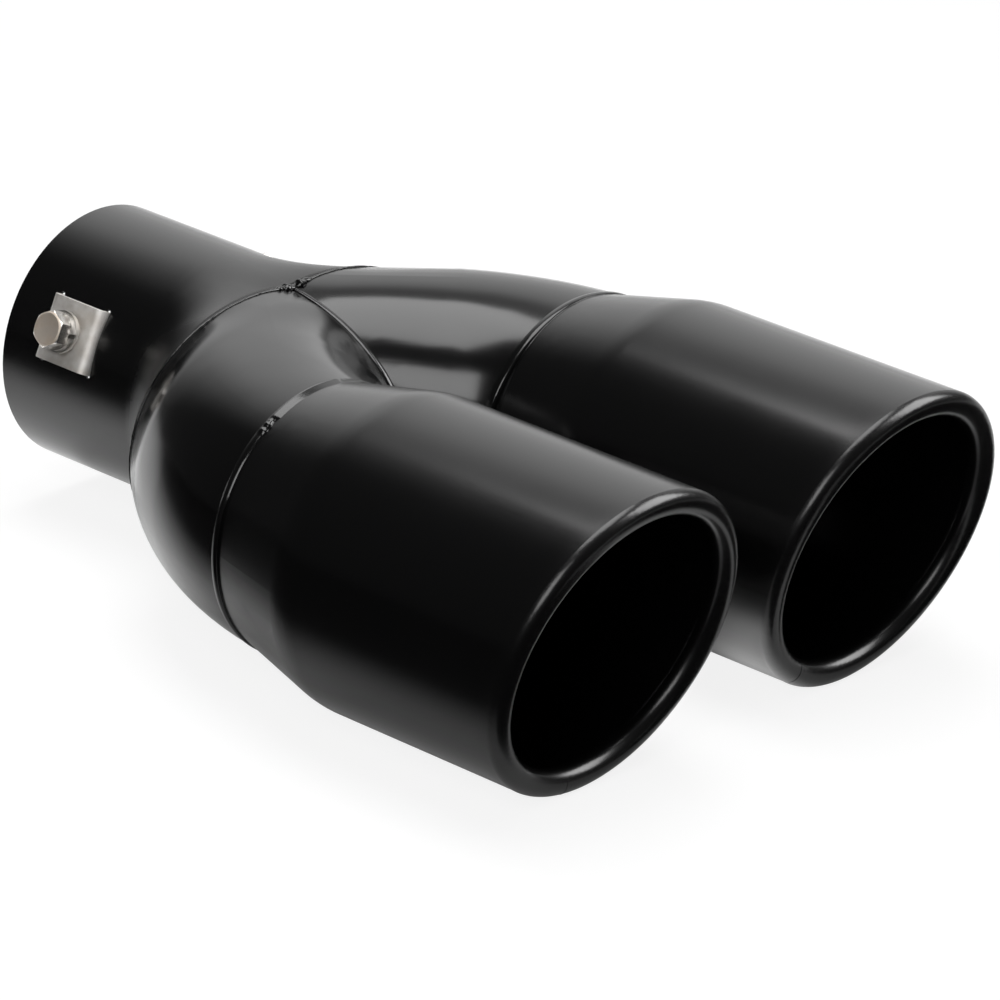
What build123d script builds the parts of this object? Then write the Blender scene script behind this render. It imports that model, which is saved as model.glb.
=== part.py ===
# Twin-outlet clamp-on exhaust tip, in painted sheet steel with two stainless screw clamps.
# Lengths are in mm. X runs along the inlet axis from the open mouth to the outlets, and Z is up.
import os
from math import acos, cos, degrees, radians, sin, sqrt, tan

from build123d import *

# Sheet thickness
wall = 1.0

# Inlet sleeve: a round mouth that flares to an oval end
inlet_radius = 31.0
flare_start = 40.0
flare_end = 62.5
flare_power = 2.2
flare_sections = 5

# Elbows: a run that leaves the middle at an angle and widens, then a bend to the tip axis,
# cut off square where the tip starts
run_radius = 29.6
elbow_radius = 32.0
bend_angle = 40.1
bend_radius = 61.0
bend_vertex = 104.9

# Tips: a neck a little smaller than the elbow's end, a cone, and a cylinder cut on the slant
tip_offset = 44.7
tip_radius = 37.5
tip_start = 115.0
neck_step = 0.2
cone_end = 140.8
cone_blend = 26.0
slash_angle = 14.0
slash_centre = 204.2

# Rolled rim
roll_radius = 3.0
roll_wrap = 225.0

# Clamps, placed by the angle round the sleeve from +Y towards +Z
left_clamp_angle = 157.3
right_clamp_angle = 19.0
clamp_x = 20.4
bracket_width = 15.6
bracket_sheet = 1.5
bracket_pitch = 15.2
bracket_bend = 2.2
bracket_seat_gap = 0.26
leg_clearance = 0.15
leg_end_gap = 0.05
slot_margin = 0.6
collar_radius = 3.7
collar_end_gap = 0.3
collar_hole_clearance = 0.8

# Clamp screws and washers
screw_radius = 2.5
screw_fit = 0.05
screw_end_gap = 0.2
screw_tip_chamfer = 0.5
head_flats = 8.0
head_height = 3.5
head_face_radius = 3.7
head_bevel_slope = 1.732
lock_washer_radius = 4.6
lock_washer_height = 1.3
lock_washer_split = 1.0
flat_washer_radius = 5.0
flat_washer_height = 1.0
washer_fit = 0.15
screw_backed_out = 1.4

# Values that follow from the dimensions above
inlet_bore = inlet_radius - wall
lean = radians(bend_angle)
mitre_centre = bend_vertex - tip_offset / tan(lean)
bend_tangent = bend_radius * tan(lean / 2)
bend_end = bend_vertex + bend_tangent
bend_rest = max(bend_end - tip_start, 0)
neck_offset = tip_offset - bend_radius + sqrt(bend_radius**2 - bend_rest**2)
neck_radius = elbow_radius - neck_step
run_length = tip_offset / sin(lean) - bend_tangent
taper = (elbow_radius - run_radius) / run_length
roll_path_radius = tip_radius - roll_radius
slash = radians(slash_angle)
plate_inside = inlet_radius + bracket_seat_gap
plate_outside = plate_inside + bracket_sheet
washer_seat = plate_outside + screw_backed_out
head_seat = washer_seat + flat_washer_height + lock_washer_height
screw_tip = inlet_bore + screw_end_gap
far = 2 * slash_centre

os.makedirs("parts", exist_ok=True)


# The oval that the seam plane cuts from an elbow's widening run: its centre, half width and half height
def seam_oval(inset):
    along = (flare_end - mitre_centre) * cos(lean)
    aside = (flare_end - mitre_centre) * sin(lean)
    girth = run_radius - inset + taper * along
    flatness = cos(lean) ** 2 - (taper * sin(lean)) ** 2
    centre = (girth * taper * sin(lean) + aside * cos(lean)) / flatness
    height = sqrt(girth**2 - aside**2 + flatness * centre**2)
    return centre, height / sqrt(flatness), height


# One outline of the flaring sleeve, a share of the way from its round to its joint with both elbows
def flare_outline(share, inset):
    blend = share**flare_power
    circle = inlet_radius - inset
    oval_centre, oval_width, oval_height = seam_oval(inset)
    centre = blend * oval_centre
    width = (1 - blend) * circle + blend * oval_width
    height = (1 - blend) * circle + blend * oval_height
    reach = degrees(acos(-centre / width))
    EllipticalCenterArc((centre, 0), width, height, start_angle=-reach, arc_size=2 * reach)
    EllipticalCenterArc((-centre, 0), width, height, start_angle=180 - reach, arc_size=2 * reach)


# The plane of a flare section at a distance along the sleeve, with its x along Y and its y along Z
def section_plane(x):
    return Plane(origin=(x, 0, 0), x_dir=(0, 1, 0), z_dir=(1, 0, 0))


# The plane through the sleeve axis whose normal points out through a clamp
def clamp_plane(angle):
    turn = radians(angle)
    return Plane(origin=(clamp_x, 0, 0), x_dir=(1, 0, 0), z_dir=(0, cos(turn), sin(turn)))


left_clamp = clamp_plane(left_clamp_angle)
right_clamp = clamp_plane(right_clamp_angle)
right_turn = right_clamp_angle - left_clamp_angle

# Inlet sleeve
with BuildPart() as inlet_sleeve:
    with BuildSketch(section_plane(0)):
        Circle(inlet_radius)
    extrude(amount=flare_start)
    for inset, mode in ((0, Mode.ADD), (wall, Mode.SUBTRACT)):
        for section in range(flare_sections):
            share = section / (flare_sections - 1)
            with BuildSketch(section_plane(flare_start + share * (flare_end - flare_start))):
                with BuildLine():
                    flare_outline(share, inset)
                make_face()
        loft(mode=mode)
    with BuildSketch(section_plane(0)):
        Circle(inlet_bore)
    extrude(amount=flare_start, mode=Mode.SUBTRACT)
    slot_length = bracket_width + 2 * slot_margin
    slot_width = bracket_sheet + 2 * leg_clearance
    for plane in (left_clamp, right_clamp):
        with BuildSketch(plane.offset(inlet_bore / 2)):
            with Locations((-bracket_pitch / 2, 0), (bracket_pitch / 2, 0)):
                SlotOverall(slot_length, slot_width, rotation=90)
            Circle(collar_radius + collar_hole_clearance)
        extrude(amount=inlet_radius, mode=Mode.SUBTRACT)
inlet_sleeve.part.label = "inlet_sleeve"
export_step(inlet_sleeve.part, "parts/inlet_sleeve.step")

# Right elbow
with BuildPart() as elbow_right:
    run_way = (cos(lean), sin(lean), 0)
    run_plane = Plane(origin=(mitre_centre, 0, 0), x_dir=(0, 0, 1), z_dir=run_way)
    bend_axis = Axis((bend_end, tip_offset - bend_radius, 0), (0, 0, -1))
    tail_plane = Plane(origin=(bend_end, tip_offset, 0), x_dir=(0, 0, 1), z_dir=(1, 0, 0))
    for inset, mode in ((0, Mode.ADD), (wall, Mode.SUBTRACT)):
        with Locations(run_plane):
            Cone(
                bottom_radius=run_radius - inset,
                top_radius=elbow_radius - inset,
                height=run_length,
                align=(Align.CENTER, Align.CENTER, Align.MIN),
                mode=mode,
            )
        with BuildSketch(run_plane.offset(run_length)):
            Circle(elbow_radius - inset)
        revolve(axis=bend_axis, revolution_arc=bend_angle, mode=mode)
        with BuildSketch(tail_plane):
            Circle(elbow_radius - inset)
        extrude(amount=far, mode=mode)
    with Locations((flare_end, 0, 0)):
        Box(
            tip_start - flare_end,
            far,
            far,
            align=(Align.MIN, Align.MIN, Align.CENTER),
            mode=Mode.INTERSECT,
        )
elbow_right.part.label = "elbow_right"
export_step(elbow_right.part, "parts/elbow_right.step")

# Left elbow
with BuildPart() as elbow_left:
    mirror(elbow_right.part, about=Plane.XZ)
elbow_left.part.label = "elbow_left"
export_step(elbow_left.part, "parts/elbow_left.step")

# Rolled rim: a curl of sheet turned round the tip and stretched to reach across the slant
with BuildPart() as rolled_rim:
    with BuildSketch(Plane.XZ):
        with BuildLine():
            roll = (roll_path_radius, 0)
            outside = CenterArc(roll, roll_radius, 0, roll_wrap)
            inside = CenterArc(roll, roll_radius - wall, 0, roll_wrap)
            Line(outside @ 0, inside @ 0)
            Line(outside @ 1, inside @ 1)
        make_face()
    revolve(axis=Axis.Z)
    scale(by=(1, 1 / cos(slash), 1))

# Right tip, whose neck is centred where the bend has got to at the seam
with BuildPart() as tip_right:
    for inset, mode in ((0, Mode.ADD), (wall, Mode.SUBTRACT)):
        with BuildSketch(section_plane(tip_start)):
            with Locations((neck_offset, 0)):
                Circle(neck_radius - inset)
        with BuildSketch(section_plane(cone_end)):
            with Locations((tip_offset, 0)):
                Circle(tip_radius - inset)
        loft(ruled=True, mode=mode)
        with BuildSketch(section_plane(cone_end)):
            with Locations((tip_offset, 0)):
                Circle(tip_radius - inset)
        extrude(amount=far - cone_end, mode=mode)
    shoulders = tip_right.edges().filter_by(GeomType.CIRCLE).filter_by_position(Axis.X, cone_end, cone_end)
    fillet(shoulders, radius=cone_blend)
    rim_plane = Plane(
        origin=(slash_centre, tip_offset, 0),
        x_dir=(0, 1, 0),
        z_dir=(cos(slash), 0, -sin(slash)),
    )
    split(bisect_by=rim_plane, keep=Keep.BOTTOM)
    with Locations(rim_plane):
        add(rolled_rim.part)
tip_right.part.label = "tip_right"
export_step(tip_right.part, "parts/tip_right.step")

# Left tip
with BuildPart() as tip_left:
    mirror(tip_right.part, about=Plane.XZ)
tip_left.part.label = "tip_left"
export_step(tip_left.part, "parts/tip_left.step")

# Left clamp bracket: a flat plate with both legs folded down into the slots, and a drawn thread collar
with BuildPart() as clamp_bracket_left:
    side = left_clamp.z_dir.cross(left_clamp.x_dir)
    bracket_side = Plane(origin=left_clamp.origin, x_dir=(1, 0, 0), z_dir=-side)
    leg_outside = (bracket_pitch + bracket_sheet) / 2
    leg_inside = (bracket_pitch - bracket_sheet) / 2
    leg_foot = inlet_bore / 2
    with BuildSketch(bracket_side):
        with BuildLine():
            over = FilletPolyline(
                (-leg_outside, leg_foot),
                (-leg_outside, plate_outside),
                (leg_outside, plate_outside),
                (leg_outside, leg_foot),
                radius=bracket_bend,
            )
            under = FilletPolyline(
                (-leg_inside, leg_foot),
                (-leg_inside, plate_inside),
                (leg_inside, plate_inside),
                (leg_inside, leg_foot),
                radius=bracket_bend - bracket_sheet,
            )
            Line(over @ 0, under @ 0)
            Line(over @ 1, under @ 1)
        make_face()
    extrude(amount=bracket_width / 2, both=True)
    with BuildSketch(left_clamp.offset(inlet_bore + collar_end_gap)):
        Circle(collar_radius)
    extrude(amount=plate_outside - inlet_bore - collar_end_gap)
    with BuildSketch(left_clamp.offset(inlet_bore / 2)):
        Circle(screw_radius + screw_fit)
    extrude(amount=inlet_radius, mode=Mode.SUBTRACT)
    with BuildSketch(section_plane(0)):
        Circle(inlet_bore + leg_end_gap)
    extrude(amount=flare_start, mode=Mode.SUBTRACT)
clamp_bracket_left.part.label = "clamp_bracket_left"
export_step(clamp_bracket_left.part, "parts/clamp_bracket_left.step")

# Right clamp bracket
with BuildPart() as clamp_bracket_right:
    add(clamp_bracket_left.part.rotate(Axis.X, right_turn))
clamp_bracket_right.part.label = "clamp_bracket_right"
export_step(clamp_bracket_right.part, "parts/clamp_bracket_right.step")

# Left flat washer
with BuildPart() as flat_washer_left:
    with BuildSketch(left_clamp.offset(washer_seat)):
        Circle(flat_washer_radius)
        Circle(screw_radius + washer_fit, mode=Mode.SUBTRACT)
    extrude(amount=flat_washer_height)
flat_washer_left.part.label = "flat_washer_left"
export_step(flat_washer_left.part, "parts/flat_washer_left.step")

# Right flat washer
with BuildPart() as flat_washer_right:
    add(flat_washer_left.part.rotate(Axis.X, right_turn))
flat_washer_right.part.label = "flat_washer_right"
export_step(flat_washer_right.part, "parts/flat_washer_right.step")

# Left lock washer: a ring split on the slant
with BuildPart() as lock_washer_left:
    with BuildSketch(left_clamp.offset(washer_seat + flat_washer_height)):
        Circle(lock_washer_radius)
        Circle(screw_radius + washer_fit, mode=Mode.SUBTRACT)
        with Locations((lock_washer_radius, 0)):
            Rectangle(2 * lock_washer_radius, lock_washer_split, rotation=20, mode=Mode.SUBTRACT)
    extrude(amount=lock_washer_height)
lock_washer_left.part.label = "lock_washer_left"
export_step(lock_washer_left.part, "parts/lock_washer_left.step")

# Right lock washer
with BuildPart() as lock_washer_right:
    add(lock_washer_left.part.rotate(Axis.X, right_turn))
lock_washer_right.part.label = "lock_washer_right"
export_step(lock_washer_right.part, "parts/lock_washer_right.step")

# Left clamp screw: a hex head with a bevelled face, on a short shank
with BuildPart() as clamp_screw_left:
    with BuildSketch(left_clamp.offset(head_seat)):
        RegularPolygon(radius=head_flats / 2, side_count=6, major_radius=False, rotation=30)
    extrude(amount=head_height)
    with Locations(left_clamp.offset(head_seat)):
        Cone(
            bottom_radius=head_face_radius + head_bevel_slope * head_height,
            top_radius=head_face_radius,
            height=head_height,
            align=(Align.CENTER, Align.CENTER, Align.MIN),
            mode=Mode.INTERSECT,
        )
    with BuildSketch(left_clamp.offset(screw_tip)):
        Circle(screw_radius)
    extrude(amount=head_seat - screw_tip)
    screw_end = clamp_screw_left.faces().sort_by(Axis(left_clamp.origin, left_clamp.z_dir))[0]
    chamfer(screw_end.edges(), length=screw_tip_chamfer)
clamp_screw_left.part.label = "clamp_screw_left"
export_step(clamp_screw_left.part, "parts/clamp_screw_left.step")

# Right clamp screw
with BuildPart() as clamp_screw_right:
    add(clamp_screw_left.part.rotate(Axis.X, right_turn))
clamp_screw_right.part.label = "clamp_screw_right"
export_step(clamp_screw_right.part, "parts/clamp_screw_right.step")
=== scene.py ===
# %% [markdown]
# # Dressing a twin-outlet exhaust tip
# The part is a clamp-on tailpipe end in black painted steel: a short sleeve flares into two elbows,
# each elbow carries a slash-cut tip with a rolled edge, and two small stainless clamps sit on the sleeve.
# The solids come in already in place, so this lesson adds what solids leave out: the paint, the weld
# beads, the cut threads and a photographer's table.

# %% Load the frame
import math

import bmesh
import bpy
import numpy as np
from mathutils import Matrix, Vector


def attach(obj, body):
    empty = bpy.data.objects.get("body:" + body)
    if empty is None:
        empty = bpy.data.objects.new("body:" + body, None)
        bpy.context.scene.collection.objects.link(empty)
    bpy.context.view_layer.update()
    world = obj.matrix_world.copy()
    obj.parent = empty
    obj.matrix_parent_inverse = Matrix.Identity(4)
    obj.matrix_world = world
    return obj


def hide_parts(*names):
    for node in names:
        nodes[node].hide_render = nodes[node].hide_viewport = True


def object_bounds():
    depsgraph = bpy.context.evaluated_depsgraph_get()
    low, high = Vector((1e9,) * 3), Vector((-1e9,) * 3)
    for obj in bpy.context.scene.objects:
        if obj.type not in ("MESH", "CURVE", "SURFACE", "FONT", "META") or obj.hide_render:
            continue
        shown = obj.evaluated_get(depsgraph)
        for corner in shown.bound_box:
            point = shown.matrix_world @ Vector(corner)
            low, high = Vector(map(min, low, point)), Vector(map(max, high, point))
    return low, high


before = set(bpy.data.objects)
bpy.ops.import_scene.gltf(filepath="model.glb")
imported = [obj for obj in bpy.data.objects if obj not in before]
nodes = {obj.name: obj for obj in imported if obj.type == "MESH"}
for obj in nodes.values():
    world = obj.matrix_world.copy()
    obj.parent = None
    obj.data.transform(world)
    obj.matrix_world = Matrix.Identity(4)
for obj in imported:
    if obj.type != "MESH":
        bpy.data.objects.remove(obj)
cad_box = [list(corner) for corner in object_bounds()]
scene = bpy.context.scene
scene.view_settings.view_transform = "Standard"
print("nodes:", sorted(nodes))
print("box of the solids in metres:", cad_box)

# %% [markdown]
# ## Camera
# The photographer stood in front and to the left, well back, with a long lens and a slight tilt. A long
# lens keeps the two outlets nearly the same size. The camera is set by its place and by where its three
# axes point, because that says the small roll directly; aiming with a constraint would lose it.

# %% Camera
camera_place = Vector((1.020172, -1.015103, 0.551981))
camera_right = Vector((0.735715, 0.675002, 0.055643))
camera_down = Vector((0.295105, -0.245531, -0.923378))
camera_ahead = Vector((-0.609620, 0.695763, -0.379837))
sensor_width_mm = 36.0
lens_mm = 231.997

lens = bpy.data.cameras.new("photo_camera")
lens.sensor_width = sensor_width_mm
lens.lens = lens_mm
camera = bpy.data.objects.new("photo_camera", lens)
scene.collection.objects.link(camera)
turn = Matrix((camera_right, -camera_down, -camera_ahead)).transposed()
camera.matrix_world = Matrix.Translation(camera_place) @ turn.to_4x4()
scene.camera = camera
print("camera stands", round(camera_place.length, 2), "m from the inlet mouth")

# %% [markdown]
# ## Writing shader maths
# A finish is mostly arithmetic on patterns. Wiring Math nodes one by one hides the sum, so a small class
# wraps a socket and lets Python's own operators add the nodes: `1 - mask` makes one Math node.

# %% Socket arithmetic
class Tone:
    """A socket of a node tree that can be added, multiplied and compared like a number."""

    def __init__(self, tree, socket):
        self.tree = tree
        self.socket = socket

    def node(self, kind, settings=None, inputs=None, output=0):
        made = self.tree.nodes.new(kind)
        for name, value in (settings or {}).items():
            setattr(made, name, value)
        for key, value in (inputs or {}).items():
            self.feed(made.inputs[key], value)
        return Tone(self.tree, made.outputs[output])

    def feed(self, entry, value):
        if isinstance(value, Tone):
            self.tree.links.new(value.socket, entry)
        else:
            entry.default_value = value

    def math(self, operation, *values):
        settings = {"operation": operation}
        return self.node("ShaderNodeMath", settings, dict(enumerate(values)))

    def __add__(self, other):
        return self.math("ADD", self, other)

    def __radd__(self, other):
        return self.math("ADD", other, self)

    def __sub__(self, other):
        return self.math("SUBTRACT", self, other)

    def __rsub__(self, other):
        return self.math("SUBTRACT", other, self)

    def __mul__(self, other):
        return self.math("MULTIPLY", self, other)

    def __rmul__(self, other):
        return self.math("MULTIPLY", other, self)

    def __truediv__(self, other):
        return self.math("DIVIDE", self, other)

    def __rtruediv__(self, other):
        return self.math("DIVIDE", other, self)

    def __lt__(self, other):
        return self.math("LESS_THAN", self, other)

    def __gt__(self, other):
        return self.math("GREATER_THAN", self, other)

    def ease(self, low, high):
        """0 below low, 1 above high, and a smooth step between."""
        settings = {"interpolation_type": "SMOOTHSTEP"}
        inputs = {"Value": self, "From Min": low, "From Max": high}
        return self.node("ShaderNodeMapRange", settings, inputs)

    def blend(self, first, second):
        """A colour that goes from first to second as this tone goes from 0 to 1."""
        settings = {"data_type": "RGBA"}
        return self.node("ShaderNodeMix", settings, {0: self, 6: first, 7: second}, output=2)

    def stretch(self, x, y, z):
        """This vector with each of its parts scaled."""
        settings = {"operation": "MULTIPLY"}
        return self.node("ShaderNodeVectorMath", settings, {0: self, 1: (x, y, z)})

    def along(self, x, y, z):
        """How far this vector reaches along a direction."""
        settings = {"operation": "DOT_PRODUCT"}
        return self.node("ShaderNodeVectorMath", settings, {0: self, 1: (x, y, z)}, output="Value")

    def noise(self, scale, detail=2.0, roughness=0.5):
        """A cloudy pattern laid over this vector, around 0.5."""
        inputs = {"Vector": self, "Scale": scale, "Detail": detail, "Roughness": roughness}
        return self.node("ShaderNodeTexNoise", {}, inputs, output=0)

    def cells(self, scale, output="Distance"):
        """Scattered points laid over this vector: the distance to the nearest, or its own colour."""
        return self.node("ShaderNodeTexVoronoi", {}, {"Vector": self, "Scale": scale}, output=output)

    def relief(self, strength, depth):
        """A bent normal that follows this tone as a height."""
        inputs = {"Height": self, "Strength": strength, "Distance": depth}
        return self.node("ShaderNodeBump", {}, inputs)


def finish(name, **constants):
    """A new material: its shader, the place on the surface as a vector, and the shader's settings."""
    material = bpy.data.materials.new(name)
    material.use_nodes = True
    tree = material.node_tree
    shader = tree.nodes["Principled BSDF"]
    for key, value in constants.items():
        shader.inputs[key.replace("_", " ")].default_value = value
    coordinates = tree.nodes.new("ShaderNodeTexCoord")
    place = Tone(tree, coordinates.outputs["Object"])
    return material, shader.inputs, place


print("socket arithmetic is ready")

# %% [markdown]
# ## The table
# The part lies on a pale sweep of paper. A photographer lights such paper until it is white in the picture,
# and only a breath of shadow is left. The paper here has its own grey, which takes the shadow, and a glow
# for camera, glossy and transmitted rays that lifts it to white without more light on the part. In mirror
# reflections the paper carries painted shade, which darkens it a few centimetres off the near side of the
# part, and painted light, which brightens it under the inlet and between the tips.

# %% Floor
floor_half = 4.0
floor_drop = 0.0001
paper_seen, glow_seen = 0.20, 0.86
paper_mirrored, glow_mirrored = 0.85, 0.12
# near_fade and near_loss set painted shade: the paper darkens towards the near side in mirror reflections
near_fade, near_loss = (0.066, 0.118), 0.97
# painted light: extra glow on the paper under the inlet and in a patch between the tips, in mirror
# reflections
painted_glow_at_inlet, inlet_fade, inlet_near_fade = 0.40, (0.02, 0.11), (0.054, 0.082)
painted_glow_between, gap_start, gap_stop = 1.2, (0.164, 0.184), (0.195, 0.212)
gap_far_fade, gap_near_fade = (-0.040, -0.018), (-0.004, 0.016)
fibre_scale, fibre_depth = 900.0, 0.02

floor_height = cad_box[0][2] - floor_drop
corners = [(x * floor_half, y * floor_half, floor_height) for x, y in ((-1, -1), (1, -1), (1, 1), (-1, 1))]
floor_mesh = bpy.data.meshes.new("floor")
floor_mesh.from_pydata(corners, [], [(0, 1, 2, 3)])
floor = bpy.data.objects.new("floor", floor_mesh)
scene.collection.objects.link(floor)


def ray_kinds(tone):
    """Whether a ray comes straight from the camera, and whether it was mirrored or let through."""
    camera_ray = tone.node("ShaderNodeLightPath", output="Is Camera Ray")
    outputs = camera_ray.socket.node.outputs
    glossy_ray = Tone(tone.tree, outputs["Is Glossy Ray"])
    through_ray = Tone(tone.tree, outputs["Is Transmission Ray"])
    return camera_ray, glossy_ray.math("MAXIMUM", glossy_ray, through_ray)


paper, paper_inputs, paper_place = finish("paper", Roughness=0.9, Specular_IOR_Level=0.0)
paper_inputs["Emission Strength"].default_value = 1.0
seen, mirrored = ray_kinds(paper_place)
fibre = paper_place.noise(fibre_scale, detail=3.0)
ahead, nearer = paper_place.along(1, 0, 0), paper_place.along(0, -1, 0)
# painted shade: the paper's colour and its mirrored glow fall off towards the near side
near_painted_shade = 1 - near_loss * nearer.ease(*near_fade)
painted_light_at_inlet = (1 - ahead.ease(*inlet_fade)) * (1 - nearer.ease(*inlet_near_fade))
mirrored_paper = paper_mirrored * near_painted_shade
shade = mirrored_paper + seen * (paper_seen - mirrored_paper) + fibre_depth * (fibre - 0.5)
shade.feed(paper_inputs["Base Color"], shade)
# painted light: a patch of glow between the tips, added to the glow under the inlet
painted_light_between_tips = ahead.ease(*gap_start) * (1 - ahead.ease(*gap_stop))
painted_light_between_tips = painted_light_between_tips * (1 - nearer.ease(*gap_near_fade)) * nearer.ease(*gap_far_fade)
mirrored_glow_and_painted_light = (glow_mirrored + painted_glow_at_inlet * painted_light_at_inlet + painted_glow_between * painted_light_between_tips) * near_painted_shade
shade.feed(paper_inputs["Emission Color"], seen * glow_seen + mirrored * mirrored_glow_and_painted_light)
floor_mesh.materials.append(paper)
print("floor at", round(floor_height * 1000, 2), "mm")

# %% [markdown]
# ## The surround
# Black paint is a mirror with very little light in it, so its look is the room around it. Here that room
# is a white sheet of paper behind the part, brighter higher up and about as wide as the view, in a dark
# studio. Its two upright edges draw the long soft edges along the tubes. The camera itself sees plain
# white.

# %% Surround
sheet_left_way = (0.361, 0.893, 0.277)
sheet_right_way = (-0.934, -0.233, 0.277)
sheet_edge_low, sheet_edge_high = -0.24, 0.30
sheet_base, sheet_lift, lift_low, lift_high = 0.96, 0.32, 0.10, 0.60
sheet_top_low, sheet_top_high, sheet_top_loss = 0.62, 0.80, 0.6
dark_studio = 0.05
ambient = 0.10

world = bpy.data.worlds.new("studio")
world.use_nodes = True
scene.world = world
sky_tree = world.node_tree
background = sky_tree.nodes["Background"]
sky = Tone(sky_tree, sky_tree.nodes.new("ShaderNodeTexCoord").outputs["Generated"])
from_left = sky.along(*sheet_left_way).ease(sheet_edge_low, sheet_edge_high)
from_right = sky.along(*sheet_right_way).ease(sheet_edge_low, sheet_edge_high)
height = sky.along(0, 0, 1)
below_top = 1 - sheet_top_loss * height.ease(sheet_top_low, sheet_top_high)
sheet_tone = (sheet_base + sheet_lift * height.ease(lift_low, lift_high)) * below_top
sheet_light = dark_studio + from_left * from_right * sheet_tone
camera_ray, mirrored_ray = ray_kinds(sky)
other_ray = 1 - camera_ray.math("MAXIMUM", camera_ray, mirrored_ray)
level = camera_ray + mirrored_ray * sheet_light + other_ray * ambient
level.feed(background.inputs["Color"], level)
background.inputs["Strength"].default_value = 1.0
print("surround: a white sheet behind, a dark studio elsewhere")

# %% [markdown]
# ## Lamps
# A wide soft box hangs overhead, one stands beside the camera and one on the right, past the outlets. Area
# lamps give both the soft shadow and the clear panes of light that the elbows and the rims mirror. The
# right one is kept off the paper, as a photographer would flag it, so that the table is not lit twice.

# %% Lamps
lit_middle = Vector((0.10, 0.0, 0.0))
away, upright = (-0.82, 0.57, 0.0), (0.0, 0.0, 1.0)


def soft_box(name, way, distance, width, depth, radiance, up):
    """An area lamp that faces the middle of the part and looks as bright as radiance says."""
    lamp = bpy.data.lights.new(name, "AREA")
    lamp.shape = "RECTANGLE"
    lamp.size = width
    lamp.size_y = depth
    lamp.energy = radiance * math.pi * width * depth
    box = bpy.data.objects.new(name, lamp)
    scene.collection.objects.link(box)
    back = Vector(way).normalized()
    side = Vector(up).cross(back).normalized()
    axes = Matrix((side, back.cross(side), back)).transposed()
    box.matrix_world = Matrix.Translation(lit_middle + distance * back) @ axes.to_4x4()
    return box


overhead_way, front_way, side_way = (-0.045, 0.031, 0.998), (0.385, -0.83, 0.56), (0.50, 0.60, 0.62)
soft_box("overhead_box", overhead_way, distance=1.0, width=0.66, depth=0.90, radiance=4.8, up=away)
soft_box("front_box", front_way, distance=1.3, width=0.52, depth=0.66, radiance=4.8, up=upright)
side_box = soft_box("side_box", side_way, distance=1.3, width=0.90, depth=0.80, radiance=8.0, up=upright)
side_box.visible_diffuse = False

# %% [markdown]
# ## Dark cards
# Black cards laid on the paper in front of each outlet are painted shade, which keeps the paper's glare off
# the faces of the rims. Only mirror reflections see them, so they take nothing from the white table.

# %% Dark cards
# painted shade: black cards that darken the paper as the rims mirror it
card_rise = 0.0006
card_start, card_end = 0.212, 0.60
card_shade, card_mottle, mottle_scale = 0.02, 0.01, 400.0
painted_shade_card_paint, card_inputs, card_place = finish("painted_shade_card_paint", Roughness=1.0, Specular_IOR_Level=0.0)
card_tone = card_shade + card_mottle * card_place.noise(mottle_scale)
card_tone.feed(card_inputs["Base Color"], card_tone)


def painted_shade_card(name, y_low, y_high):
    """A black card on the floor, painted shade that only mirror reflections see."""
    mesh = bpy.data.meshes.new(name)
    corners = ((card_start, y_low), (card_end, y_low), (card_end, y_high), (card_start, y_high))
    mesh.from_pydata([(x, y, floor_height + card_rise) for x, y in corners], [], [(0, 1, 2, 3)])
    mesh.materials.append(painted_shade_card_paint)
    card = bpy.data.objects.new(name, mesh)
    scene.collection.objects.link(card)
    for ray in ("camera", "diffuse", "transmission", "shadow", "volume_scatter"):
        setattr(card, "visible_" + ray, False)


painted_shade_card("left_outlet_painted_shade_card", y_low=-0.115, y_high=0.014)
painted_shade_card("right_outlet_painted_shade_card", y_low=0.040, y_high=0.60)
print("dark cards lie in front of the outlets")

# %% [markdown]
# ## Satin black paint
# The sleeve and the tips wear a satin black: nearly no colour of its own, and a soft sheen. Real paint is
# never even, so the sheen wanders a little, a faint orange peel bends it, and a few dust specks and
# hairline rubs sit on top. The paint is softer on the rolled rims, and dull on the outer sides of the
# flare, where the weld was ground. On the pressed flare the two lobes run into each other without an edge,
# so the paint's height field eases the valley between them.

# %% Satin black
rim_middle, rim_slant = 0.2042, math.radians(14.0)
flare_from, flare_long, flare_power, hair = 0.040, 0.0225, 2.2, 0.0001
sleeve_end = flare_from + flare_long
valley_half, valley_slope, valley_loss = 0.010, 0.31, 0.096
black, dust = (0.0022, 0.0022, 0.0023, 1), (0.07, 0.07, 0.07, 1)
satin_roughness, rim_softer, cloud_change, rub_shine, dulling = 0.215, 0.045, 0.05, 0.03, 0.22
rim_fade, flare_fade, dull_fade, rub_fade = (-0.004, 0.0005), (0.040, 0.048), (0.022, 0.032), (0.60, 0.72)
peel_depth = 0.000005


def specks(place, scale, size, left_out):
    """Scattered round specks: how close they lie, how large they are and what share is left out."""
    return (place.cells(scale) < size) * (place.cells(scale, "Color") > left_out)


def valley_fill(place):
    """A height that takes the edge off the valley between the two lobes of the sleeve's flare."""
    x, y = place.along(1, 0, 0), place.along(0, 1, 0)
    share = (x - flare_from) * (1 / flare_long)
    share = x.math("POWER", x.math("MAXIMUM", share.math("MINIMUM", share, 1.0), 0.0), flare_power)
    steep = share * (valley_slope - valley_loss * share) * (x < sleeve_end + hair)
    near = y.math("MINIMUM", y.math("ABSOLUTE", y), valley_half)
    return -1 * steep * (near - near * near / (2 * valley_half))


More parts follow.
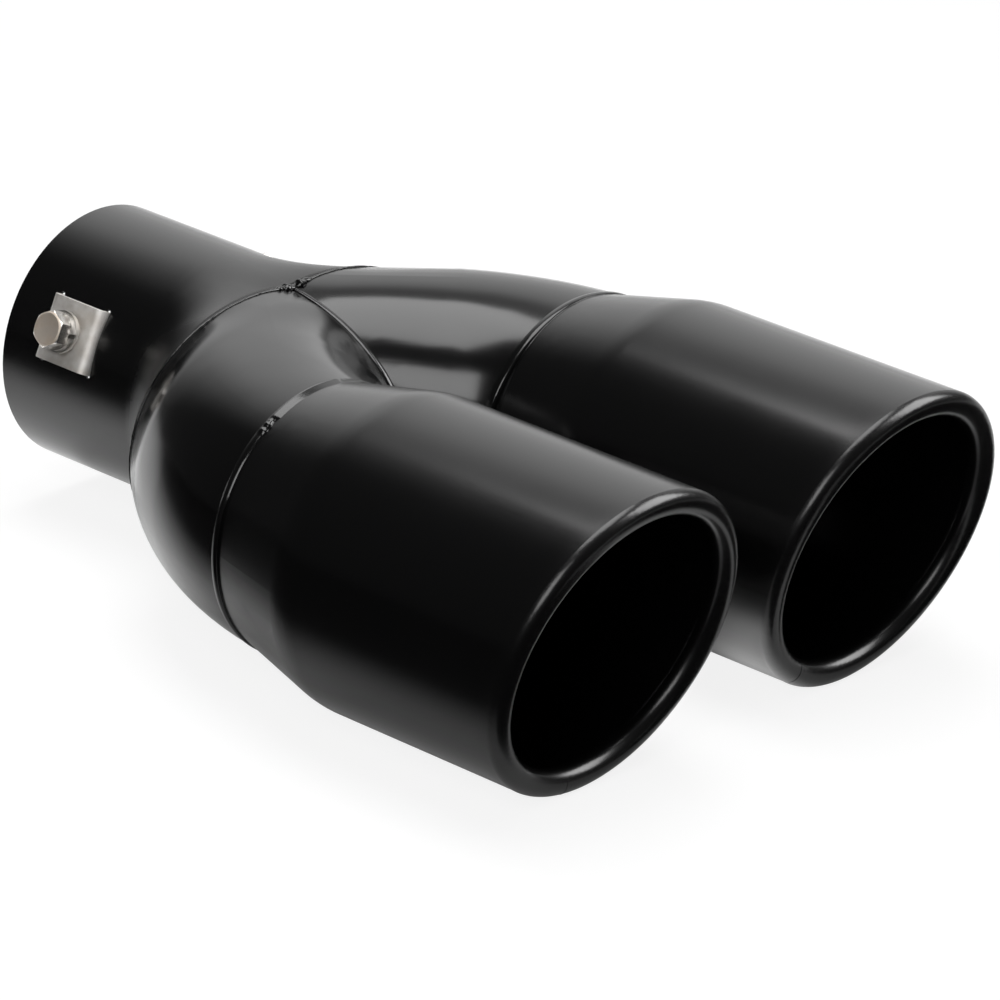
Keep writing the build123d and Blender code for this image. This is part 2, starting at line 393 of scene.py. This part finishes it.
def satin_black():
    """The satin paint of the sleeve and the tips."""
    material, inputs, place = finish("satin_black_paint", IOR=1.5)
    x, y = place.along(1, 0, 0), place.along(0, 1, 0)
    clouds = place.noise(45.0, detail=3.0)
    peel = place.noise(1500.0, detail=1.0)
    rub = place.stretch(1.0, 12.0, 12.0).noise(120.0, detail=4.0).ease(*rub_fade)
    motes = specks(place, scale=170.0, size=0.022, left_out=0.80)
    across_slant = place.along(math.cos(rim_slant), 0, -math.sin(rim_slant))
    on_rim = (across_slant - rim_middle * math.cos(rim_slant)).ease(*rim_fade)
    on_flare = x.ease(*flare_fade) * (x < sleeve_end + hair)
    dulled = on_flare * y.math("ABSOLUTE", y).ease(*dull_fade)
    roughness = satin_roughness + rim_softer * on_rim + cloud_change * (clouds - 0.5)
    motes.feed(inputs["Roughness"], roughness - rub_shine * rub + dulling * dulled)
    motes.feed(inputs["Base Color"], motes.blend(black, dust))
    height = peel_depth * peel + valley_fill(place)
    motes.feed(inputs["Normal"], height.relief(1.0, 1.0))
    return material


satin = satin_black()
print("made", satin.name)

# %% [markdown]
# ## Gloss black paint
# The elbows are smoother: they mirror the lamps with clear edges. The same black, less rough, with a
# very slow waviness as on polished and painted tube. Where an elbow's widening run meets its bend the real
# tube has no edge, so the paint's height field lets the widening die away. It also draws the walls in
# towards the crotch, the left elbow's more than the right one's, and beside the sleeve, as the heat of a
# weld does. The welds wear the same paint, and the ground-down weld round the sleeve's end a thin dull coat
# of it.

# %% Gloss black
run_start, run_lean, run_length, run_taper = 0.051817, math.radians(40.1), 0.047134, 0.050919
run_ease = 0.030
draw_half_right, draw_slope_right = 0.026, 0.16
draw_half_left, draw_slope_left = 0.034, 0.40
draw_fade = (0.070, 0.097)
roll_long, roll_slope, roll_fade = 0.014, 0.34, (0.016, 0.034)
gloss_dust = (0.06, 0.06, 0.06, 1)


def run_out(place):
    """A height that lets an elbow's widening die away before its bend and draws its wall in at welds."""
    x, y = place.along(1, 0, 0), place.along(0, 1, 0)
    off_middle = y.math("ABSOLUTE", y)
    run = (x - run_start) * math.cos(run_lean) + off_middle * math.sin(run_lean)

    def slope_from(inside, reach, slope):
        """A height that is level at a reach and falls ever faster, to this slope, further inside."""
        depth = x.math("MAXIMUM", inside, 0.0)
        return depth * depth * (-slope / (2 * reach))

    eased = slope_from(x.math("MINIMUM", run, run_length) - (run_length - run_ease), run_ease, run_taper)
    right = slope_from(draw_half_right - y, draw_half_right, draw_slope_right) * (y > 0)
    left = slope_from(draw_half_left + y, draw_half_left, draw_slope_left) * (y < 0)
    rolled = slope_from(sleeve_end + roll_long - x, roll_long, roll_slope) * off_middle.ease(*roll_fade)
    return eased + (right + left) * x.ease(*draw_fade) + rolled


def gloss_black(name, roughness, grain, grain_depth, height=None, shine=0.5):
    """The gloss paint of the elbows and the welds, with a grain and, where given, a height field."""
    material, inputs, place = finish(name, IOR=1.5, Specular_IOR_Level=shine)
    clouds = place.noise(60.0, detail=3.0)
    relief = place.noise(grain, detail=1.0) * grain_depth
    if height:
        relief = relief + height(place)
    motes = specks(place, scale=190.0, size=0.02, left_out=0.85)
    motes.feed(inputs["Roughness"], roughness + cloud_change * (clouds - 0.5))
    motes.feed(inputs["Base Color"], motes.blend(black, gloss_dust))
    motes.feed(inputs["Normal"], relief.relief(1.0, 1.0))
    return material


gloss = gloss_black("gloss_black_paint", 0.165, grain=70.0, grain_depth=0.0001, height=run_out)
weld_paint = gloss_black("weld_paint", 0.16, grain=1600.0, grain_depth=0.00001)
seam_paint = gloss_black("seam_paint", 0.40, grain=1100.0, grain_depth=0.00004, shine=0.2)
print("made", gloss.name, "and", weld_paint.name, "and", seam_paint.name)

# %% [markdown]
# ## Stainless steel
# The clamp pieces are bare stainless. The brackets are stamped and tumbled, which leaves a matt skin that
# spreads the lamps wide. The screws are turned and brighter, except for the face, which is as matt as the
# bracket and a little stained. The washers are pressed from spring steel and come out darker.

# %% Stainless
screw_angle = {"left": math.radians(157.3), "right": math.radians(19.0)}
screw_face, face_fade = 0.03984, (-0.0002, -0.0001)
warm_steel, clean_steel = (0.76, 0.72, 0.67), (0.94, 0.92, 0.89)
stain, pit = (0.66, 0.55, 0.44, 1), (0.50, 0.46, 0.42, 1)


def stainless_steel(name, matt, bright, pale=1.0):
    """Bare steel, matt on the screw's face and as bright as given elsewhere."""
    material, inputs, place = finish(name, Metallic=1.0)
    brushing = place.stretch(1.0, 14.0, 14.0).noise(900.0, detail=4.0, roughness=0.6)
    clouds = place.noise(220.0, detail=3.0)
    pits = specks(place, scale=1500.0, size=0.12, left_out=0.6)
    out_left, out_right = [place.along(0, math.cos(a), math.sin(a)) for a in screw_angle.values()]
    on_face = (out_left.math("MAXIMUM", out_left, out_right) - screw_face).ease(*face_fade)
    roughness = bright + (matt - bright) * on_face + 0.12 * (brushing - 0.5) + 0.08 * (clouds - 0.5)
    brushing.feed(inputs["Roughness"], roughness)
    warm, clean = [(*(shade * pale for shade in steel), 1) for steel in (warm_steel, clean_steel)]
    colour = clouds.ease(0.30, 0.70).blend(warm, clean)
    stained = (on_face * (0.45 + 0.4 * clouds.ease(0.35, 0.65))).blend(colour, stain)
    clouds.feed(inputs["Base Color"], (pits * 0.5).blend(stained, pit))
    clouds.feed(inputs["Normal"], brushing.relief(0.10, 0.0002))
    return material


tumbled = stainless_steel("tumbled_steel", matt=0.62, bright=0.62)
turned = stainless_steel("turned_steel", matt=0.66, bright=0.24)
pressed = stainless_steel("pressed_steel", matt=0.34, bright=0.34, pale=0.68)
print("made", tumbled.name, "and", turned.name, "and", pressed.name)

# %% [markdown]
# ## Finishes on the solids
# Each solid comes with named slots, one for each finish of the real part. The shape stays as it is; the
# slot gets the paint or the steel made above; brackets and washers get their own kinds of steel.

# %% Finishes on the solids
finish_of_slot = {"satin_black": satin, "gloss_black": gloss, "stainless": turned}
for name, node in nodes.items():
    for slot in node.material_slots:
        slot.material = finish_of_slot[slot.material.name.split(".")[0]]
        if name.startswith("clamp_bracket"):
            slot.material = tumbled
        if "washer" in name:
            slot.material = pressed
print("finished", len(nodes), "solids")

# %% [markdown]
# ## Skinning a row of loops
# Every piece added below is long and round in section: a bead of weld, a screw. Each could be a curve with
# a bevel, but a bevel has one section all along, and these change as they go. So each is worked out as a
# row of equal loops of points in millimetres, and one helper joins the loops into a closed mesh.

# %% Skin
mm = 0.001


def skin(name, loops, closed, body, material, sharp=35.0):
    """One closed mesh over a row of loops, which rides on a body and wears a finish."""
    rows, size = loops.shape[:2]
    grid = np.arange(rows * size).reshape(rows, size)
    ends = grid if closed else grid[:-1]
    nexts = np.roll(grid, -1, axis=0)[: len(ends)]
    quads = np.stack((ends, np.roll(ends, -1, 1), np.roll(nexts, -1, 1), nexts), axis=-1).reshape(-1, 4)
    faces = quads.tolist()
    if not closed:
        faces += [grid[0][::-1].tolist(), grid[-1].tolist()]
    mesh = bpy.data.meshes.new(name)
    mesh.from_pydata((loops.reshape(-1, 3) * mm).tolist(), [], faces)
    shape = bmesh.new()
    shape.from_mesh(mesh)
    bmesh.ops.recalc_face_normals(shape, faces=shape.faces)
    shape.to_mesh(mesh)
    shape.free()
    mesh.shade_smooth()
    mesh.set_sharp_from_angle(angle=math.radians(sharp))
    mesh.materials.append(material)
    piece = bpy.data.objects.new(name, mesh)
    scene.collection.objects.link(piece)
    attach(piece, body)
    print(name, "has", len(faces), "faces")
    return piece


# %% [markdown]
# ## Weld beads between the tubes
# The sleeve, the elbows and the tips are separate tubes, joined by a thin weld that was ground a little and
# painted over. A bead is a rounded strip: it stands proud of the joint by a few tenths of a millimetre and
# its foot is sunk in the walls. It swells and dips along its length, which slow waves of different lengths
# give without any chance numbers.

# %% Bead
phase_step = 1.7
other_half = np.array((1.0, -1.0, -1.0))


def waves(along, *lengths):
    """A tone between about -1 and 1 that never repeats, made of a few waves of these lengths."""
    turns = [np.sin(2 * np.pi * along / length + k * phase_step) for k, length in enumerate(lengths)]
    return sum(turns) / len(turns)


def walk(path):
    """How far along a path each of its points is."""
    steps = np.linalg.norm(np.diff(path, axis=0), axis=1)
    return np.concatenate(([0.0], np.cumsum(steps)))


def unit(vectors):
    """The same directions with length 1."""
    return vectors / np.linalg.norm(vectors, axis=-1)[..., None]


def bead_loops(path, outward, half_width, proud, sunk, sides=12):
    """Loops of a bead along a path: rounded above the joint, with its foot sunk in the walls."""
    tangent = np.gradient(path, axis=0)
    across = unit(np.cross(tangent, outward))
    turn = np.linspace(0, 2 * np.pi, sides, endpoint=False)
    side = half_width[:, None] * np.cos(turn)
    rise = np.where(np.sin(turn) > 0, proud[:, None], sunk) * np.sin(turn)
    return path[:, None] + side[..., None] * across[:, None] + rise[..., None] * outward[:, None]


print("bead helpers are ready")

# %% [markdown]
# The weld round the sleeve's end runs along two ovals that meet in the valley between the elbows. It was
# ground nearly flat and touched up, so it is a thin band with one foot on the flare and one on the elbow's
# cone, a little wider on the outer sides, where the flare and the elbow lean towards each other.

# %% Sleeve weld
flare_start, flare_reach, sleeve_radius = flare_from / mm, flare_long / mm, 31.0
seam_x, seam_centre, seam_width, seam_height = flare_start + flare_reach, 10.698, 39.699, 30.339
band_fore, band_aft, band_wider, band_lift = 1.7, 1.0, 1.2, 0.24
foot_sunk, foot_rise, root_sunk, valley_reach = 0.25, 0.03, 0.5, 3.0


def sleeve_points(back, turn):
    """Points of the right half of the sleeve, at a distance back from its end and angles round its oval."""
    share = ((seam_x - back - flare_start) / flare_reach) ** flare_power
    y = share * seam_centre + (sleeve_radius + share * (seam_width - sleeve_radius)) * np.cos(turn)
    z = (sleeve_radius + share * (seam_height - sleeve_radius)) * np.sin(turn)
    return np.stack((seam_x - back + 0 * turn, np.maximum(y, 0), z), axis=-1)


reach = math.acos(-seam_centre / seam_width)
turn = np.linspace(-reach, reach, 500)[:-1]
seam = sleeve_points(0.0, turn)
axis = np.array((math.cos(run_lean), math.sin(run_lean), 0.0))
spoke = seam - np.array((run_start / mm, 0.0, 0.0))
spoke = unit(spoke - (spoke @ axis)[:, None] * axis)
forward = unit(axis + run_taper * spoke)
elbow_out = unit(spoke - run_taper * axis)
steps = sleeve_points(0.5, turn + 0.001) - sleeve_points(0.5, turn - 0.001)
sleeve_out = unit(np.cross(steps, sleeve_points(0.4, turn) - sleeve_points(0.6, turn)))
facing = sleeve_out[:, 2] * np.sin(turn) + sleeve_out[:, 1] * np.cos(turn)
sleeve_out *= np.sign(facing)[:, None]
middle_out = unit(elbow_out + sleeve_out)
middle_out[:, 1] *= np.clip(seam[:, 1] / valley_reach, 0, 1)
middle_out = unit(middle_out)

wider = band_wider * np.clip(np.cos(turn), 0, 1) ** 2
fore, aft = band_fore + wider, band_aft + wider
lift = band_lift + 0.02 * waves(walk(seam), 3.3, 5.9, 14.0)
even = np.ones_like(turn)


def on_sleeve(share, rise):
    """Points over the flare: a share of the band's width behind the seam, this high above the paint."""
    return sleeve_points(share * aft, turn) + (rise * sleeve_out.T).T


def on_elbow(share, rise):
    """Points over the elbow: a share of the band's width ahead of the seam, this high above the paint."""
    return seam + ((share * fore) * forward.T).T + (rise * elbow_out.T).T


half = np.stack((
    on_sleeve(1.0, -foot_sunk * even), on_sleeve(0.92, foot_rise * even),
    on_sleeve(0.5, 0.45 * lift), on_sleeve(0.2, 0.85 * lift),
    seam + (lift * middle_out.T).T,
    on_elbow(0.2, 0.80 * lift), on_elbow(0.5, 0.40 * lift),
    on_elbow(0.94, foot_rise * even), on_elbow(1.0, -foot_sunk * even),
    seam - root_sunk * middle_out,
), axis=1)
loops = np.concatenate((half, half * other_half))
skin("sleeve_weld", loops, True, "pipework", seam_paint)

# %% [markdown]
# On the band's front half runs a thin shiny crest that the grinder missed. Where all three tubes meet, on
# top and below, the welder stopped and started, and the crest swells into lumps.

# %% Weld crest
crest_share, lump_reach, lump_half, lump_proud = 0.6, 5.2, 1.35, 1.15
crest = on_elbow(crest_share, crest_share * lift)
crest = np.concatenate((crest, crest * other_half))
crest_out = np.concatenate((middle_out, middle_out * other_half))
along = walk(crest)
lumps = np.exp(-((crest[:, 1] / lump_reach) ** 4))
lump_shape = lumps * (0.55 + 0.45 * waves(along, 2.3, 3.3, 4.9))
crest[:, 0] += lumps * 0.5 * waves(along, 2.9, 4.1, 1.9)
crest_half = 0.30 + 0.05 * waves(along, 2.1, 4.7, 11.0) + lump_half * lump_shape
crest_proud = 0.20 + 0.04 * waves(along, 2.6, 5.3, 13.0) + lump_proud * lump_shape
loops = bead_loops(crest, crest_out, crest_half, crest_proud, sunk=0.5)
skin("weld_crest", loops, True, "pipework", weld_paint)

# %% [markdown]
# The two elbows meet in the middle plane along part of an ellipse, from the sleeve on top, round the
# crotch, to the sleeve below. The valley closes towards the crotch, so the bead grows there to fill it.

# %% Mitre weld
mitre_x, mitre_long, mitre_high = 54.606, 46.123, 29.654
top_turn = math.acos((seam_x - mitre_x) / mitre_long)
turn = np.linspace(top_turn, -top_turn, 520)
mitre = np.stack((mitre_x + mitre_long * np.cos(turn), 0 * turn, mitre_high * np.sin(turn)), axis=1)
mitre_out = unit(np.stack((np.cos(turn) / mitre_long, 0 * turn, np.sin(turn) / mitre_high), axis=1))
crotch = np.cos(turn) ** 2
ripple = waves(walk(mitre), 2.7, 4.3, 9.7)
mitre_half = 0.85 + 0.50 * crotch + 0.02 * ripple
mitre_proud = 0.55 + 0.70 * crotch + 0.015 * ripple
loops = bead_loops(mitre, mitre_out, mitre_half, mitre_proud, sunk=0.40, sides=16)
skin("mitre_weld", loops, False, "pipework", weld_paint)

# %% [markdown]
# Each tip's neck is a little smaller than the elbow it is welded to, so the weld is a narrow slope from the
# elbow's edge down to the tip. On the left tip it widens to a flat band over the top and ends in a blob
# where the torch was lifted. The elbow's end is a slice of a bend, not a true circle, and its edge is found
# by closing in on the bend's surface from the neck's axis.

# %% Tip welds
tip_seam_x, neck_offset, neck_radius = 115.0, 43.475, 31.8
neck_slope, neck_drift = 0.2209, 0.0475
bend_end, bend_middle, bend_radius, elbow_radius = 127.162, -16.3, 61.0, 32.0
search_from, search_to, halvings = 25.0, 40.0, 30
back_foot, back_side, back_top, face_start, face_points = -1.3, -0.8, -0.35, 0.10, 6


def elbow_edge(x, turn):
    """How far the right elbow's skin is from the neck's axis, at a distance along and an angle round it."""
    near, far = 0 * turn + search_from, 0 * turn + search_to
    for _ in range(halvings):
        middle = (near + far) / 2
        from_axis = np.hypot(x - bend_end, neck_offset + middle * np.cos(turn) - bend_middle)
        inside = (from_axis - bend_radius) ** 2 + (middle * np.sin(turn)) ** 2 < elbow_radius**2
        near, far = np.where(inside, middle, near), np.where(inside, far, middle)
    return near


def tip_weld(name, side, band, lip, bulge):
    """A weld between an elbow and its tip: how wide, how proud and how round its face is at each angle."""
    degrees = np.linspace(0, 360, 900, endpoint=False)
    turn = np.radians(degrees)
    outer = np.arccos(np.clip(side * np.cos(turn), -1, 1))
    wide, rise = band(degrees), lip(degrees)

    def neck(x):
        """The radius of the tip's neck, this far past the seam."""
        return neck_radius + neck_slope * x + neck_drift * x * np.cos(outer)

    foot_edge, side_edge, top_edge, seam_edge = [
        elbow_edge(tip_seam_x + x, outer) for x in (back_foot, back_side, back_top, 0.0)
    ]
    profile = [(back_foot, foot_edge - 0.08), (back_side, side_edge + 0.35 * rise)]
    profile.append((back_top, top_edge + 0.82 * rise))
    top, foot, roundness = seam_edge + rise, neck(wide) + 0.05, bulge(degrees)
    for share in np.linspace(0, 1, face_points):
        flat = (face_start + (wide - face_start) * share, top + (foot - top) * share)
        quarter = share * np.pi / 2
        arched = (wide * np.sin(quarter), foot + (top - foot) * np.cos(quarter))
        profile.append([roundness * a + (1 - roundness) * f for a, f in zip(arched, flat)])
    profile += [(wide + 0.35, neck(wide + 0.35) - 0.12), (wide, neck(wide) - 0.60),
                (0.0, neck(0.0) - 0.45), (-0.9, side_edge - 0.60)]
    points = []
    for x, radius in profile:
        y, z = side * neck_offset + radius * np.cos(turn), radius * np.sin(turn)
        points.append(np.stack((tip_seam_x + x + 0 * turn, y, z), axis=1))
    skin(name, np.stack(points, axis=1), True, "pipework", weld_paint, sharp=22.0)


def window(degrees, low, high, soft):
    """1 between two angles, falling smoothly to 0 over the soft margin outside them."""
    outside = np.maximum(np.maximum(low - degrees, degrees - high), 0) / soft
    inside = np.clip(1 - outside, 0, 1)
    return inside**2 * (3 - 2 * inside)


def blob(degrees):
    """A lumpy swelling, about 1 where the torch was lifted and 0 elsewhere."""
    return np.exp(-(((degrees - 124.0) / 3.2) ** 4)) * (0.85 + 0.30 * waves(degrees, 3.4, 4.9, 7.3))


tip_weld(
    "tip_weld_left", -1,
    lambda a: 0.70 + 1.00 * window(a, 83, 118, 3) + 0.45 * blob(a) + 0.35 * window(a, 128, 156, 8),
    lambda a: 0.20 + 0.38 * window(a, 83, 118, 4) + 0.50 * blob(a) + 0.12 * window(a, 128, 156, 8),
    lambda a: 1 - window(a, 70, 119, 3) - 0.5 * window(a, 128, 156, 8),
)
tip_weld(
    "tip_weld_right", 1,
    lambda a: 0.75 + 0.25 * window(a, 60, 160, 12) + 0.015 * waves(a, 5.3, 8.1, 19.0),
    lambda a: 0.22 + 0.12 * window(a, 60, 160, 12) + 0.006 * waves(a, 5.6, 9.1, 23.0),
    lambda a: 1 + 0 * a,
)

# %% [markdown]
# Each rolled rim was bent from a strip and closed with one small butt weld near the bottom. It shows as a
# hair line across the inside of the curl, so it is a very thin bead along the curl's own section.

# %% Rim marks
rim_x, tip_offset, curl_radius, curl_path = rim_middle / mm, 44.7, 3.0, 34.5
mark_half, mark_proud, mark_sunk, mark_from, mark_to = 0.13, 0.09, 0.2, 35.0, 150.0


def rim_mark(name, side, degrees):
    """A thin butt weld across the inside of a rolled rim, at an angle round the tip's axis."""
    turn = math.radians(degrees)
    radial = Vector((0, math.cos(turn), math.sin(turn) / math.cos(rim_slant)))
    round_rim = Vector((math.tan(rim_slant) * math.sin(turn), math.cos(turn), math.sin(turn)))
    middle = Vector((rim_x, side * tip_offset, 0)) + curl_path * round_rim
    ahead = Vector((math.cos(rim_slant), 0, -math.sin(rim_slant)))
    outward = (radial - radial.dot(ahead) * ahead).normalized()
    roll = np.radians(np.linspace(mark_from, mark_to, 40))
    out = np.array([list(math.sin(r) * ahead + math.cos(r) * outward) for r in roll])
    path = np.array(middle) + curl_radius * out
    even = np.ones(len(path))
    loops = bead_loops(path, out, mark_half * even, mark_proud * even, mark_sunk, sides=8)
    skin(name, loops, False, "pipework", satin)


rim_mark("rim_mark_left", -1, -98.5)
rim_mark("rim_mark_right", 1, -122.0)

# %% [markdown]
# ## Clamp screws
# A clamp screw is an M5 hex screw: rolled thread, six flats, and a face turned to a bevel so that no corner
# catches. A turned part is a stack of rings, and here every ring is allowed its own outline: round at the
# bevel, six-sided on the flats, and on the shank a groove that winds one pitch for each turn. The outline
# with the smaller radius wins, as a cutter would leave it.

# %% Screws
thread_pitch, thread_depth, screw_radius = 0.8, 0.45, 2.5
head_flats, head_height, face_radius, bevel_slope = 8.0, 3.5, 3.7, 1.732
screw_tip, head_seat, clamp_x, tip_bevel, neck_long = 30.2, 36.46, 20.4, 0.55, 0.25
round_steps, ring_step = 96, 0.08
head_rings = (0.0, 0.12, 1.2, 2.3, 2.6, 2.75, 2.9, 3.0, 3.1, 3.2, 3.3, 3.4, 3.48, 3.5)


def screw_loops(angle):
    """Loops of a screw whose axis points out through the sleeve at an angle round it."""
    out = np.array((0.0, math.cos(angle), math.sin(angle)))
    side = np.array((1.0, 0.0, 0.0))
    up = np.cross(out, side)
    turn = np.linspace(0, 2 * np.pi, round_steps, endpoint=False)
    hexagon = head_flats / 2 / np.cos((turn + np.pi / 6) % (np.pi / 3) - np.pi / 6)
    face = head_seat + head_height
    rings = []
    for z in np.arange(screw_tip, head_seat - neck_long, ring_step):
        groove = np.abs(2 * ((z / thread_pitch - turn / (2 * np.pi)) % 1.0) - 1)
        thread = screw_radius - thread_depth * np.clip(1.25 * groove - 0.12, 0, 1)
        rings.append((z, np.minimum(thread, screw_radius - tip_bevel + (z - screw_tip))))
    rings += [(head_seat - 0.2, 0 * turn + 2.3), (head_seat, 0 * turn + 2.6)]
    for z in head_rings:
        bevel = face_radius + bevel_slope * (head_height - z)
        under = head_flats / 2 * 1.02 + 8 * z
        rings.append((head_seat + z, np.minimum(np.minimum(hexagon, bevel), under)))
    rings += [(face - 0.02, 0 * turn + 3.45), (face - 0.10, 0 * turn + 3.1), (face - 0.12, 0 * turn + 0.4)]
    loops = []
    for z, radius in rings:
        spread = radius[:, None] * (np.cos(turn)[:, None] * side + np.sin(turn)[:, None] * up)
        loops.append(np.array((clamp_x, 0, 0)) + z * out + spread)
    return np.stack(loops)


for hand, angle in screw_angle.items():
    screw = skin("threaded_screw_" + hand, screw_loops(angle), False, "screw_" + hand, turned)
    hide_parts("clamp_screw_" + hand)
